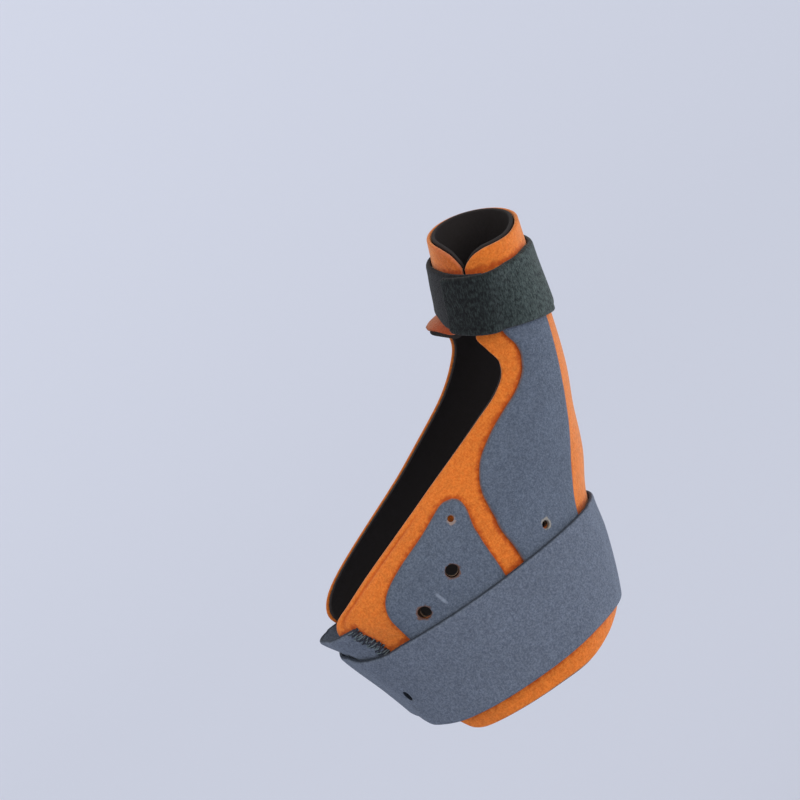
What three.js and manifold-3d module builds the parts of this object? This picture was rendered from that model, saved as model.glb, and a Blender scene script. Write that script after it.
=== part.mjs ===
// A thumb spica splint for the right hand, in the form that it has when it is worn.
// Millimetres. +Z runs up the forearm towards the hand, +X points to the thumb side and -Y out of the
// palm. The origin is the middle of the wrist, inside the cuff.
//
// Every piece is a sheet laid on one hand form, a row of elliptic sections from the wrist to the thumb.
// A place on the form has a station (0 at the cuff's lower edge, 9 at the top of the thumb sleeve), a
// bearing in degrees round the section (0 thumb side, 90 palm, 180 little finger side, -90 or 270 back
// of the hand) and a lift, its height above the form.

import * as THREE from "three";
import { mergeVertices } from "three/addons/utils/BufferGeometryUtils.js";
import Module from "manifold-3d";

// Hand sizes
const WRIST_WIDTH = 49;
const WRIST_DEPTH = 38;
const CUFF_DROP = 17;
const THUMB_WIDTH = 20;
const THUMB_DEPTH = 19.6;
const THUMB_RISE = 87.5;
const THUMB_REACH = 62.6;
const THUMB_FORWARD = 16.4;
const THUMB_TURN_DEG = 25;
const THUMB_LEAN_DEG = 15;
const WEB_FLARE = 4;

// Layers
const LINING = 0.9;
const COVER = 1.0;
const PANEL = 1.0;
const STRAP = 1.3;
const HOOK = 0.7;
const LAYER_GAP = 0.3;

// Holes
const EYELET_RADIUS = 1.8;
const PIN_HOLE_RADIUS = 0.85;
const STAY_HOLE_RADIUS = 1.1;
const STRAP_SLOT_LENGTH = 3.2;
const STRAP_SLOT_WIDTH = 1.5;

// Fineness of the meshes
const BODY_ROUND_STEPS = 29;
const BODY_ALONG_STEPS = 30;
const PANEL_ROUND_STEPS = 6;
const PANEL_ALONG_STEPS = 22;
const WRIST_STRAP_STEPS = 64;
const THUMB_STRAP_STEPS = 48;
const STRAP_ACROSS_STEPS = 4;
const HOOK_STEPS = 8;
const HOLE_SIDES = 12;
const JOIN_DISTANCE = 1e-4;

// A hole's cutter: how far it reaches past the layers, and the steps that find the form's slope there
const CUT_CLEAR = 2;
const SLOPE_STATIONS = 0.05;
const SLOPE_DEGREES = 1;

// Heights above the hand form at which each layer starts
const COVER_AT = LINING + LAYER_GAP;
const ON_COVER = COVER_AT + COVER + LAYER_GAP;
const ON_PANEL = ON_COVER + PANEL + LAYER_GAP;
const ON_STRAP = ON_COVER + STRAP + LAYER_GAP;
const ON_HOOK = ON_STRAP + HOOK + LAYER_GAP;
const ON_SKIN = 0.5;
const ON_SKIN_STRAP = ON_SKIN + STRAP + LAYER_GAP;

// Sections of the hand form, one row for each station. The columns are shares: drop of CUFF_DROP, rise
// of THUMB_RISE, out of THUMB_REACH, forward of THUMB_FORWARD, wristWide and thumbWide of the two widths
// (added, as a half width), wristDeep and thumbDeep of the two depths (a half depth), turn and lean of
// the thumb's two angles.
const SECTIONS = [
  {
    drop: 1.0, rise: 0.0, out: 0.0, forward: 0.0,
    wristWide: 0.5, thumbWide: 0, wristDeep: 0.49, thumbDeep: 0,
    turn: 0.0, lean: 0.0,
  },
  {
    drop: 0.35, rise: 0.0, out: 0.04, forward: 0.0,
    wristWide: 0.57, thumbWide: 0, wristDeep: 0.52, thumbDeep: 0,
    turn: 0.08, lean: 0.0,
  },
  {
    drop: 0.0, rise: 0.07, out: 0.065, forward: 0.02,
    wristWide: 0.645, thumbWide: 0, wristDeep: 0.545, thumbDeep: 0,
    turn: 0.14, lean: 0.0,
  },
  {
    drop: 0.0, rise: 0.206, out: 0.07, forward: 0.06,
    wristWide: 0.714, thumbWide: 0, wristDeep: 0.56, thumbDeep: 0,
    turn: 0.24, lean: 0.13,
  },
  {
    drop: 0.0, rise: 0.337, out: 0.112, forward: 0.12,
    wristWide: 0.796, thumbWide: 0, wristDeep: 0.55, thumbDeep: 0,
    turn: 0.34, lean: 0.33,
  },
  {
    drop: 0.0, rise: 0.474, out: 0.42, forward: 0.245,
    wristWide: 0.33, thumbWide: 0.485, wristDeep: 0.26, thumbDeep: 0.435,
    turn: 0.56, lean: 0.6,
  },
  {
    drop: 0.0, rise: 0.6, out: 0.663, forward: 0.43,
    wristWide: 0.1, thumbWide: 0.605, wristDeep: 0.08, thumbDeep: 0.61,
    turn: 0.84, lean: 0.87,
  },
  {
    drop: 0.0, rise: 0.743, out: 0.834, forward: 0.64,
    wristWide: 0, thumbWide: 0.59, wristDeep: 0, thumbDeep: 0.61,
    turn: 1.0, lean: 1.0,
  },
  {
    drop: 0.0, rise: 0.874, out: 0.922, forward: 0.815,
    wristWide: 0, thumbWide: 0.51, wristDeep: 0, thumbDeep: 0.525,
    turn: 1.0, lean: 1.0,
  },
  {
    drop: 0.0, rise: 1.0, out: 1.0, forward: 1.0,
    wristWide: 0, thumbWide: 0.475, wristDeep: 0, thumbDeep: 0.48,
    turn: 0.96, lean: 1.0,
  },
];

// Edges of the body, cut as one piece. The palm edge runs up the little finger side of the wrist,
// crosses the ball of the thumb, swings round a notch and ends in the seam up the thumb.
const PALM_EDGE = [
  { station: 0, bearing: 139 },
  { station: 0.8, bearing: 142 },
  { station: 2.0, bearing: 146 },
  { station: 3.6, bearing: 149 },
  { station: 3.9, bearing: 147.5 },
  { station: 4.12, bearing: 141.5 },
  { station: 4.5, bearing: 136 },
  { station: 4.92, bearing: 130.5 },
  { station: 5.36, bearing: 121.5 },
  { station: 5.84, bearing: 109.5 },
  { station: 6.15, bearing: 99 },
  { station: 6.4, bearing: 94.5 },
  { station: 6.58, bearing: 96.5 },
  { station: 6.82, bearing: 109 },
  { station: 7.04, bearing: 121 },
  { station: 7.3, bearing: 121 },
  { station: 7.9, bearing: 118 },
  { station: 9, bearing: 117.5 },
];
const BACK_EDGE = [
  { station: 0, bearing: -139 },
  { station: 0.8, bearing: -142 },
  { station: 3.6, bearing: -150 },
  { station: 3.95, bearing: -147 },
  { station: 4.5, bearing: -137 },
  { station: 5.2, bearing: -127 },
  { station: 5.8, bearing: -121 },
  { station: 6.3, bearing: -123 },
  { station: 6.7, bearing: -134 },
  { station: 6.81, bearing: -148 },
  { station: 6.85, bearing: -170 },
  { station: 6.89, bearing: -190 },
  { station: 6.935, bearing: -207 },
  { station: 7.015, bearing: -217 },
  { station: 7.5, bearing: -231 },
  { station: 7.9, bearing: -240 },
  { station: 9, bearing: -240.5 },
];
// The cuff's lower edge and the thumb sleeve's rim, as stations round the section.
const CUFF_EDGE = [
  { bearing: -139, station: 0.95 },
  { bearing: -128, station: 0.6 },
  { bearing: -100, station: 0.45 },
  { bearing: -30, station: 0.5 },
  { bearing: 0, station: 0.42 },
  { bearing: 22, station: 0.27 },
  { bearing: 36, station: 0.13 },
  { bearing: 56, station: 0.02 },
  { bearing: 80, station: 0.12 },
  { bearing: 105, station: 0.24 },
  { bearing: 127, station: 0.37 },
  { bearing: 134, station: 0.5 },
  { bearing: 139, station: 0.85 },
];
const SLEEVE_RIM = [
  { bearing: -240.5, station: 8.4 },
  { bearing: -237, station: 8.52 },
  { bearing: -224, station: 8.76 },
  { bearing: -205, station: 8.88 },
  { bearing: -183, station: 8.92 },
  { bearing: -90, station: 8.98 },
  { bearing: 0, station: 8.95 },
  { bearing: 20, station: 8.9 },
  { bearing: 50, station: 8.82 },
  { bearing: 84, station: 8.78 },
  { bearing: 100, station: 8.7 },
  { bearing: 112, station: 8.54 },
  { bearing: 117.5, station: 8.4 },
];

// How the body's rows spread between two middling stations of the cuff's edge and the rim. They are
// closest at the web. The lowest and highest rows bend to follow the cuff's edge and the rim.
const BODY_ROWS = { low: 0.3, high: 8.9, cuffBendEnd: 0.3, rimBendStart: 0.86 };
const ROW_SPREAD = [
  { step: 0, share: 0 },
  { step: 0.33, share: 0.43 },
  { step: 0.72, share: 0.765 },
  { step: 0.84, share: 0.797 },
  { step: 1, share: 1 },
];

// Where the body's edge turns outwards over the web: the flare starts, is full, falls and ends.
const FLARE_STATIONS = { rise: 5.9, full: 6.95, fall: 7.0, end: 7.27 };
const FLARE_BEARINGS = { rise: -214, full: -176, fall: -160, end: -112 };
// The body's rows also rise there, by up to this share of a station.
const WEB_RISE = 0.12;
const RISE_STATIONS = { rise: 6.5, full: 6.95, fall: 7.05, end: 7.5 };
const RISE_BEARINGS = { rise: -216, full: -188, fall: -172, end: -130 };

// The raised panels over the stays: for each station the bearings of their thumb side and palm side.
const THUMB_PANEL_ROWS = [
  { station: 0.9, thumbSide: 40, palmSide: 54 },
  { station: 1.05, thumbSide: 34, palmSide: 61 },
  { station: 1.4, thumbSide: 31.5, palmSide: 65 },
  { station: 3.04, thumbSide: 31.5, palmSide: 68.6 },
  { station: 3.4, thumbSide: 31.6, palmSide: 69.1 },
  { station: 3.72, thumbSide: 31.7, palmSide: 70.6 },
  { station: 4.16, thumbSide: 32, palmSide: 74.8 },
  { station: 4.46, thumbSide: 31.5, palmSide: 81 },
  { station: 4.72, thumbSide: 31, palmSide: 88.3 },
  { station: 4.96, thumbSide: 30.9, palmSide: 94 },
  { station: 5.32, thumbSide: 32.2, palmSide: 98 },
  { station: 5.6, thumbSide: 33.6, palmSide: 96.2 },
  { station: 5.88, thumbSide: 34.8, palmSide: 90 },
  { station: 6.14, thumbSide: 35, palmSide: 80.8 },
  { station: 6.43, thumbSide: 35, palmSide: 75.6 },
  { station: 6.6, thumbSide: 34.8, palmSide: 75.8 },
  { station: 6.78, thumbSide: 34.8, palmSide: 79 },
  { station: 7.03, thumbSide: 35.4, palmSide: 89.5 },
  { station: 7.16, thumbSide: 36.4, palmSide: 92.5 },
  { station: 7.3, thumbSide: 38.5, palmSide: 90 },
  { station: 7.4, thumbSide: 43, palmSide: 84 },
  { station: 7.45, thumbSide: 50, palmSide: 74 },
];
const PALM_PANEL_ROWS = [
  { station: 1.15, thumbSide: 90, palmSide: 110 },
  { station: 1.3, thumbSide: 83, palmSide: 118 },
  { station: 1.7, thumbSide: 79, palmSide: 122.5 },
  { station: 3.04, thumbSide: 77.6, palmSide: 124 },
  { station: 3.38, thumbSide: 77.6, palmSide: 122.6 },
  { station: 3.7, thumbSide: 78.3, palmSide: 120.8 },
  { station: 4.03, thumbSide: 80.9, palmSide: 119.7 },
  { station: 4.31, thumbSide: 86.1, palmSide: 117.5 },
  { station: 4.57, thumbSide: 92.6, palmSide: 114.2 },
  { station: 4.73, thumbSide: 98.4, palmSide: 113.6 },
  { station: 4.82, thumbSide: 103.2, palmSide: 113.2 },
  { station: 4.86, thumbSide: 107, palmSide: 111.5 },
];
const EYELETS = [
  { station: 3.75, bearing: 93 },
  { station: 3.27, bearing: 110.6 },
];
const PIN_HOLE = { station: 4.57, bearing: 100.3 };
const STAY_HOLE = { station: 3.36, bearing: 53 };
const STRAP_SLOT = { station: 1.9, bearing: 147 + 360 };

// The wrist strap is sewn to the palm edge, goes once round the wrist by the back of the hand, crosses
// the palm side over the panels and ends on itself at the back. Bearings run on past 360.
const WRIST_STRAP_ROWS = [
  { bearing: 137, low: 1.55, high: 3.7, lift: ON_COVER },
  { bearing: 151, low: 1.49, high: 3.66, lift: ON_COVER },
  { bearing: 158, low: 1.47, high: 3.65, lift: 0.5 * (ON_COVER + ON_SKIN) },
  { bearing: 166, low: 1.44, high: 3.63, lift: ON_SKIN },
  { bearing: 197, low: 1.3, high: 3.55, lift: ON_SKIN },
  { bearing: 208, low: 1.22, high: 3.5, lift: ON_COVER },
  { bearing: 270, low: 0.9, high: 3.25, lift: ON_COVER },
  { bearing: 330, low: 0.6, high: 3.05, lift: ON_COVER },
  { bearing: 360, low: 0.5, high: 2.96, lift: ON_COVER },
  { bearing: 381, low: 0.52, high: 2.94, lift: 0.5 * (ON_COVER + ON_PANEL) },
  { bearing: 390, low: 0.55, high: 2.93, lift: ON_PANEL },
  { bearing: 417, low: 0.55, high: 2.93, lift: ON_PANEL },
  { bearing: 460, low: 0.67, high: 2.9, lift: ON_PANEL },
  { bearing: 486, low: 0.79, high: 2.9, lift: ON_PANEL },
  { bearing: 494, low: 0.85, high: 2.88, lift: ON_STRAP },
  { bearing: 509, low: 1.02, high: 2.97, lift: ON_STRAP },
  { bearing: 517, low: 1.13, high: 3.04, lift: 0.5 * (ON_STRAP + ON_SKIN_STRAP) },
  { bearing: 526, low: 1.26, high: 3.09, lift: ON_SKIN_STRAP },
  { bearing: 538, low: 1.34, high: 3.09, lift: ON_SKIN_STRAP },
  { bearing: 557, low: 1.3, high: 3.16, lift: ON_SKIN_STRAP },
  { bearing: 568, low: 1.22, high: 3.2, lift: ON_STRAP },
  { bearing: 576, low: 1.2, high: 3.22, lift: ON_HOOK },
  { bearing: 612, low: 1.1, high: 3.1, lift: ON_HOOK },
  { bearing: 616, low: 1.25, high: 2.95, lift: ON_HOOK },
  { bearing: 618, low: 1.5, high: 2.7, lift: ON_HOOK },
];
const WRIST_HOOK_ROWS = [
  { bearing: 578, low: 1.4, high: 3.0, lift: ON_STRAP },
  { bearing: 613, low: 1.4, high: 2.85, lift: ON_STRAP },
];

// Over which share of a strap's width its height goes over to that of its upper edge.
const TAPER = { from: 0.36, to: 1 };

// The thumb strap starts under its own end, goes round the back of the thumb and crosses in front.
const THUMB_STRAP_ROWS = [
  { bearing: -262, low: 7.26, high: 8.28, lift: ON_COVER },
  { bearing: -222, low: 7.16, high: 8.34, lift: ON_COVER },
  { bearing: -206, low: 7.2, high: 8.37, lift: ON_COVER },
  { bearing: -188, low: 7.31, high: 8.38, lift: ON_COVER },
  { bearing: -160, low: 7.33, high: 8.38, lift: ON_COVER },
  { bearing: -140, low: 7.29, high: 8.37, lift: ON_COVER },
  { bearing: -90, low: 7.1, high: 8.36, lift: ON_COVER },
  { bearing: 0, low: 7.0, high: 8.34, lift: ON_COVER },
  { bearing: 20, low: 7.0, high: 8.37, lift: ON_COVER },
  { bearing: 31, low: 7.02, high: 8.4, lift: ON_PANEL },
  { bearing: 60, low: 7.1, high: 8.35, lift: ON_PANEL },
  { bearing: 88, low: 7.14, high: 8.34, lift: ON_PANEL },
  { bearing: 97, low: 7.14, high: 8.34, lift: ON_HOOK },
  { bearing: 136, low: 7.2, high: 8.34, lift: ON_HOOK },
  { bearing: 140, low: 7.26, high: 8.3, lift: ON_HOOK },
];
// Its upper edge lies on the body alone, above the end of the thumb panel.
const THUMB_STRAP_TOP = [
  { bearing: -262, lift: ON_COVER },
  { bearing: 64, lift: ON_COVER },
  { bearing: 97, lift: ON_HOOK },
  { bearing: 140, lift: ON_HOOK },
];
const THUMB_HOOK_ROWS = [
  { bearing: 100, low: 7.35, high: 8.15, lift: ON_STRAP },
  { bearing: 136, low: 7.38, high: 8.15, lift: ON_STRAP },
];

const VELOUR_GREY = new THREE.MeshStandardMaterial({ color: 0x5b6472, roughness: 0.95, metalness: 0 });
const VELOUR_ORANGE = new THREE.MeshStandardMaterial({ color: 0xe07a1f, roughness: 0.9, metalness: 0 });
const LOOP_DARK = new THREE.MeshStandardMaterial({ color: 0x2f3836, roughness: 0.95, metalness: 0 });
const LINING_BLACK = new THREE.MeshStandardMaterial({ color: 0x1f1c1b, roughness: 0.9, metalness: 0 });
const HOOK_BLACK = new THREE.MeshStandardMaterial({ color: 0x17191a, roughness: 0.7, metalness: 0 });

// A smooth curve through the rows of a table, which never swings past them.
function curveThrough(rows, key, value) {
  const x = rows.map((row) => row[key]);
  const y = rows.map((row) => row[value]);
  const last = rows.length - 1;
  const slope = (i) => (y[i + 1] - y[i]) / (x[i + 1] - x[i]);
  const tangent = (i) => {
    if (i === 0) return slope(0);
    if (i === last) return slope(last - 1);
    const before = slope(i - 1);
    const after = slope(i);
    return before * after <= 0 ? 0 : (2 * before * after) / (before + after);
  };
  return (at) => {
    const clamped = Math.min(Math.max(at, x[0]), x[last]);
    let i = 0;
    while (i < last - 1 && clamped > x[i + 1]) i += 1;
    const span = x[i + 1] - x[i];
    const s = (clamped - x[i]) / span;
    const rise = 3 * s * s - 2 * s * s * s;
    return (
      y[i] * (1 - rise) +
      y[i + 1] * rise +
      span * (s * (1 - s) * (1 - s) * tangent(i) - s * s * (1 - s) * tangent(i + 1))
    );
  };
}

function smoothStep(from, to, at) {
  return THREE.MathUtils.smoothstep((at - from) / (to - from), 0, 1);
}

function bump(range, at) {
  return smoothStep(range.rise, range.full, at) * (1 - smoothStep(range.fall, range.end, at));
}

// Real sizes of one section.
function sectionSizes(row) {
  return [
    row.out * THUMB_REACH,
    -row.forward * THUMB_FORWARD,
    row.rise * THUMB_RISE - row.drop * CUFF_DROP,
    row.wristWide * WRIST_WIDTH + row.thumbWide * THUMB_WIDTH,
    row.wristDeep * WRIST_DEPTH + row.thumbDeep * THUMB_DEPTH,
    THREE.MathUtils.degToRad(row.turn * THUMB_TURN_DEG),
    THREE.MathUtils.degToRad(row.lean * THUMB_LEAN_DEG),
  ];
}

const SIZES = SECTIONS.map(sectionSizes);
const LAST_STATION = SECTIONS.length - 1;

// The section at any station, on a Catmull-Rom curve through the rows.
function sectionAt(station) {
  const i = Math.min(Math.max(Math.floor(station), 0), LAST_STATION - 1);
  const s = station - i;
  const here = SIZES[i];
  const next = SIZES[i + 1];
  const before = SIZES[i - 1] ?? here.map((v, k) => 2 * v - next[k]);
  const after = SIZES[i + 2] ?? next.map((v, k) => 2 * v - here[k]);
  return here.map(
    (v, k) =>
      0.5 *
      (2 * v +
        (next[k] - before[k]) * s +
        (2 * before[k] - 5 * v + 4 * next[k] - after[k]) * s ** 2 +
        (3 * v - before[k] - 3 * next[k] + after[k]) * s ** 3),
  );
}

function onForm(station, bearing, lift) {
  const [x, y, z, halfWidth, halfDepth, turn, lean] = sectionAt(station);
  const angle = THREE.MathUtils.degToRad(bearing);
  const towardsThumb = new THREE.Vector3(Math.cos(turn), 0, -Math.sin(turn));
  const towardsPalm = new THREE.Vector3(
    -Math.sin(turn) * Math.sin(lean),
    -Math.cos(lean),
    -Math.cos(turn) * Math.sin(lean),
  );
  return new THREE.Vector3(x, y, z)
    .addScaledVector(towardsThumb, (halfWidth + lift) * Math.cos(angle))
    .addScaledVector(towardsPalm, (halfDepth + lift) * Math.sin(angle));
}

// A closed sheet over a grid. place(u, w, side) gives a point of its inner (0) or outer (1) face, for u
// and w from 0 to 1.
function sheet(place, stepsU, stepsW) {
  const positions = [];
  const indices = [];
  const columns = stepsW + 1;
  const faceSize = (stepsU + 1) * columns;
  for (const side of [0, 1]) {
    for (let i = 0; i <= stepsU; i += 1) {
      for (let j = 0; j <= stepsW; j += 1) {
        positions.push(...place(i / stepsU, j / stepsW, side).toArray());
      }
    }
  }
  const inner = (i, j) => i * columns + j;
  const outer = (i, j) => faceSize + i * columns + j;
  const quad = (a, b, c, d) => indices.push(a, b, c, a, c, d);
  for (let i = 0; i < stepsU; i += 1) {
    for (let j = 0; j < stepsW; j += 1) {
      quad(outer(i, j), outer(i, j + 1), outer(i + 1, j + 1), outer(i + 1, j));
      quad(inner(i, j), inner(i + 1, j), inner(i + 1, j + 1), inner(i, j + 1));
    }
    quad(inner(i, 0), outer(i, 0), outer(i + 1, 0), inner(i + 1, 0));
    quad(inner(i + 1, stepsW), outer(i + 1, stepsW), outer(i, stepsW), inner(i, stepsW));
  }
  for (let j = 0; j < stepsW; j += 1) {
    quad(inner(0, j + 1), outer(0, j + 1), outer(0, j), inner(0, j));
    quad(inner(stepsU, j), outer(stepsU, j), outer(stepsU, j + 1), inner(stepsU, j + 1));
  }
  const geometry = new THREE.BufferGeometry();
  geometry.setAttribute("position", new THREE.Float32BufferAttribute(positions, 3));
  geometry.setIndex(indices);
  return geometry;
}

const palmEdge = curveThrough(PALM_EDGE, "station", "bearing");
const backEdge = curveThrough(BACK_EDGE, "station", "bearing");
const cuffEdge = curveThrough(CUFF_EDGE, "bearing", "station");
const sleeveRim = curveThrough(SLEEVE_RIM, "bearing", "station");
const rowSpread = curveThrough(ROW_SPREAD, "step", "share");

// The body turns outwards where it passes over the web between thumb and hand.
function webFlare(station, bearing) {
  const along = bump(FLARE_STATIONS, station);
  const round = bump(FLARE_BEARINGS, bearing);
  return WEB_FLARE * along * round;
}

// One layer of the body, between two heights above the form.
function bodyLayer(low, high) {
  const across = (curve, share) => {
    const first = curve[0].bearing;
    return first + share * (curve[curve.length - 1].bearing - first);
  };
  const place = (u, w, side) => {
    const toCuff = cuffEdge(across(CUFF_EDGE, u)) - BODY_ROWS.low;
    const toRim = sleeveRim(across(SLEEVE_RIM, u)) - BODY_ROWS.high;
    const atCuff = toCuff * (1 - smoothStep(0, BODY_ROWS.cuffBendEnd, w));
    const atRim = toRim * smoothStep(BODY_ROWS.rimBendStart, 1, w);
    const row = BODY_ROWS.low + rowSpread(w) * (BODY_ROWS.high - BODY_ROWS.low) + atCuff + atRim;
    const back = backEdge(row);
    const bearing = back + u * (palmEdge(row) - back);
    const station = row + WEB_RISE * bump(RISE_STATIONS, row) * bump(RISE_BEARINGS, bearing);
    return onForm(station, bearing, (side ? high : low) + webFlare(station, bearing));
  };
  return sheet(place, BODY_ROUND_STEPS, BODY_ALONG_STEPS);
}

function panel(rows) {
  const first = rows[0].station;
  const span = rows[rows.length - 1].station - first;
  const thumbSide = curveThrough(rows, "station", "thumbSide");
  const palmSide = curveThrough(rows, "station", "palmSide");
  const place = (u, w, side) => {
    // Stations crowd towards both ends, where the outline is round.
    const station = first + span * 0.5 * (1 - Math.cos(Math.PI * w));
    const bearing = thumbSide(station) + u * (palmSide(station) - thumbSide(station));
    return onForm(station, bearing, ON_COVER + side * PANEL);
  };
  return sheet(place, PANEL_ROUND_STEPS, PANEL_ALONG_STEPS);
}

// A strap between two stations at each bearing. Its upper edge may have heights of its own.
function band(rows, thickness, steps, topRows = rows) {
  const first = rows[0].bearing;
  const span = rows[rows.length - 1].bearing - first;
  const low = curveThrough(rows, "bearing", "low");
  const high = curveThrough(rows, "bearing", "high");
  const lift = curveThrough(rows, "bearing", "lift");
  const topLift = curveThrough(topRows, "bearing", "lift");
  const place = (u, w, side) => {
    const bearing = first + u * span;
    const station = low(bearing) + w * (high(bearing) - low(bearing));
    const share = smoothStep(TAPER.from, TAPER.to, w);
    const height = lift(bearing) + share * (topLift(bearing) - lift(bearing));
    return onForm(station, bearing, height + side * thickness);
  };
  return sheet(place, steps, STRAP_ACROSS_STEPS);
}

const wasm = await Module();
wasm.setup();

function solidOf(geometry) {
  const bare = geometry.clone();
  bare.deleteAttribute("normal");
  bare.deleteAttribute("uv");
  const merged = mergeVertices(bare, JOIN_DISTANCE);
  return new wasm.Manifold(
    new wasm.Mesh({
      numProp: 3,
      vertProperties: merged.attributes.position.array,
      triVerts: new Uint32Array(merged.index.array),
    }),
  );
}

function geometryOf(solid) {
  const mesh = solid.getMesh();
  const geometry = new THREE.BufferGeometry();
  geometry.setAttribute("position", new THREE.BufferAttribute(mesh.vertProperties, mesh.numProp));
  geometry.setIndex(new THREE.BufferAttribute(mesh.triVerts, 1));
  return geometry;
}

// A cutter that stands square on the form at a place, between two heights. A slot is stretched along
// the form.
function holeCutter(place, radius, low, high, stretch = 1) {
  const { station, bearing } = place;
  const foot = onForm(station, bearing, low);
  const alongForm = onForm(station + SLOPE_STATIONS, bearing, low).sub(foot);
  const roundForm = onForm(station, bearing + SLOPE_DEGREES, low).sub(foot);
  const outwards = new THREE.Vector3().crossVectors(alongForm, roundForm).normalize();
  if (outwards.dot(onForm(station, bearing, high).sub(foot)) < 0) outwards.negate();
  const across = new THREE.Vector3().crossVectors(outwards, roundForm).normalize();
  const sideways = new THREE.Vector3().crossVectors(across, outwards);
  const turned = new THREE.Matrix4().makeBasis(sideways, outwards, across.clone().negate());
  return new THREE.CylinderGeometry(radius, radius, high - low, HOLE_SIDES)
    .scale(1, 1, stretch)
    .applyMatrix4(turned)
    .translate(...foot.addScaledVector(outwards, 0.5 * (high - low)).toArray());
}

function withHoles(geometry, cutters) {
  const cut = cutters.reduce((solid, cutter) => solid.subtract(solidOf(cutter)), solidOf(geometry));
  return geometryOf(cut);
}

const throughBody = EYELETS.map((place) =>
  holeCutter(place, EYELET_RADIUS, -CUT_CLEAR, ON_PANEL + CUT_CLEAR),
);
const throughPanel = (place, radius) =>
  holeCutter(place, radius, ON_COVER - 0.5 * LAYER_GAP, ON_PANEL + CUT_CLEAR);

function named(name, geometry, material) {
  const mesh = new THREE.Mesh(geometry, material);
  mesh.name = name;
  return mesh;
}

const splint = new THREE.Group();
splint.add(
  named("lining", withHoles(bodyLayer(0, LINING), throughBody), LINING_BLACK),
  named("cover", withHoles(bodyLayer(COVER_AT, COVER_AT + COVER), throughBody), VELOUR_ORANGE),
  named(
    "palm_panel",
    withHoles(panel(PALM_PANEL_ROWS), [...throughBody, throughPanel(PIN_HOLE, PIN_HOLE_RADIUS)]),
    VELOUR_GREY,
  ),
  named(
    "thumb_panel",
    withHoles(panel(THUMB_PANEL_ROWS), [throughPanel(STAY_HOLE, STAY_HOLE_RADIUS)]),
    VELOUR_GREY,
  ),
  named(
    "wrist_strap",
    withHoles(band(WRIST_STRAP_ROWS, STRAP, WRIST_STRAP_STEPS), [
      holeCutter(
        STRAP_SLOT,
        0.5 * STRAP_SLOT_WIDTH,
        ON_STRAP - 0.5 * LAYER_GAP,
        ON_STRAP + STRAP + CUT_CLEAR,
        STRAP_SLOT_LENGTH / STRAP_SLOT_WIDTH,
      ),
    ]),
    VELOUR_GREY,
  ),
  named("wrist_hook_patch", band(WRIST_HOOK_ROWS, HOOK, HOOK_STEPS), HOOK_BLACK),
  named("thumb_strap", band(THUMB_STRAP_ROWS, STRAP, THUMB_STRAP_STEPS, THUMB_STRAP_TOP), LOOP_DARK),
  named("thumb_hook_patch", band(THUMB_HOOK_ROWS, HOOK, HOOK_STEPS), HOOK_BLACK),
);

export default splint;
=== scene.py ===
"""A worn thumb splint: velour over a dark lining, grey panels, a wide wrist strap and a thumb strap."""

import math

import bmesh
import bpy
import numpy as np
from mathutils import Matrix, Vector


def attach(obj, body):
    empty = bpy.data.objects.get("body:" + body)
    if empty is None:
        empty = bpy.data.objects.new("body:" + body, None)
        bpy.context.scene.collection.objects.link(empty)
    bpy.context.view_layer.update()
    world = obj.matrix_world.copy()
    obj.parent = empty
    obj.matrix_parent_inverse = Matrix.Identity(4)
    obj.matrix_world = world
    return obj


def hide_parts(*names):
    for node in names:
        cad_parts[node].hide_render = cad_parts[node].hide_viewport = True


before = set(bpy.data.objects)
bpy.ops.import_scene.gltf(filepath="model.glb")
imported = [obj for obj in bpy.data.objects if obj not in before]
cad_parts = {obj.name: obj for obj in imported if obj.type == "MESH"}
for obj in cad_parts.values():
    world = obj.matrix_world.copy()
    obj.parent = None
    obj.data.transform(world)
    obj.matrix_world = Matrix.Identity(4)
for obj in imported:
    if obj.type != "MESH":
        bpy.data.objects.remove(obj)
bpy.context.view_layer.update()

MM = 0.001

# Hand sizes in millimetres, the same as in the solid model
WRIST_WIDTH = 49
WRIST_DEPTH = 38
CUFF_DROP = 17
THUMB_WIDTH = 20
THUMB_DEPTH = 19.6
THUMB_RISE = 87.5
THUMB_REACH = 62.6
THUMB_FORWARD = 16.4
THUMB_TURN = math.radians(25)
THUMB_LEAN = math.radians(15)

# Thickness of each layer in millimetres, and the heights above the form at which pieces lie
LINING = 0.9
COVER = 1.0
PANEL = 1.0
STRAP = 1.3
HOOK = 0.7
LAYER_GAP = 0.3
COVER_AT = LINING + LAYER_GAP
ON_COVER = COVER_AT + COVER + LAYER_GAP
ON_PANEL = ON_COVER + PANEL + LAYER_GAP
ON_STRAP = ON_COVER + STRAP + LAYER_GAP
ON_HOOK = ON_STRAP + HOOK + LAYER_GAP
ON_SKIN = 0.5
ON_SKIN_STRAP = ON_SKIN + STRAP + LAYER_GAP

# Sections of the hand form: drop, rise, out, forward, wrist and thumb shares of the width, wrist and
# thumb shares of the depth, turn and lean
SECTIONS = np.array([
    (1.0, 0.0, 0.0, 0.0, 0.5, 0, 0.49, 0, 0.0, 0.0),
    (0.35, 0.0, 0.04, 0.0, 0.57, 0, 0.52, 0, 0.08, 0.0),
    (0.0, 0.07, 0.065, 0.02, 0.645, 0, 0.545, 0, 0.14, 0.0),
    (0.0, 0.206, 0.07, 0.06, 0.714, 0, 0.56, 0, 0.24, 0.13),
    (0.0, 0.337, 0.112, 0.12, 0.796, 0, 0.55, 0, 0.34, 0.33),
    (0.0, 0.474, 0.42, 0.245, 0.33, 0.485, 0.26, 0.435, 0.56, 0.6),
    (0.0, 0.6, 0.663, 0.43, 0.1, 0.605, 0.08, 0.61, 0.84, 0.87),
    (0.0, 0.743, 0.834, 0.64, 0, 0.59, 0, 0.61, 1.0, 1.0),
    (0.0, 0.874, 0.922, 0.815, 0, 0.51, 0, 0.525, 1.0, 1.0),
    (0.0, 1.0, 1.0, 1.0, 0, 0.475, 0, 0.48, 0.96, 1.0),
])

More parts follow.
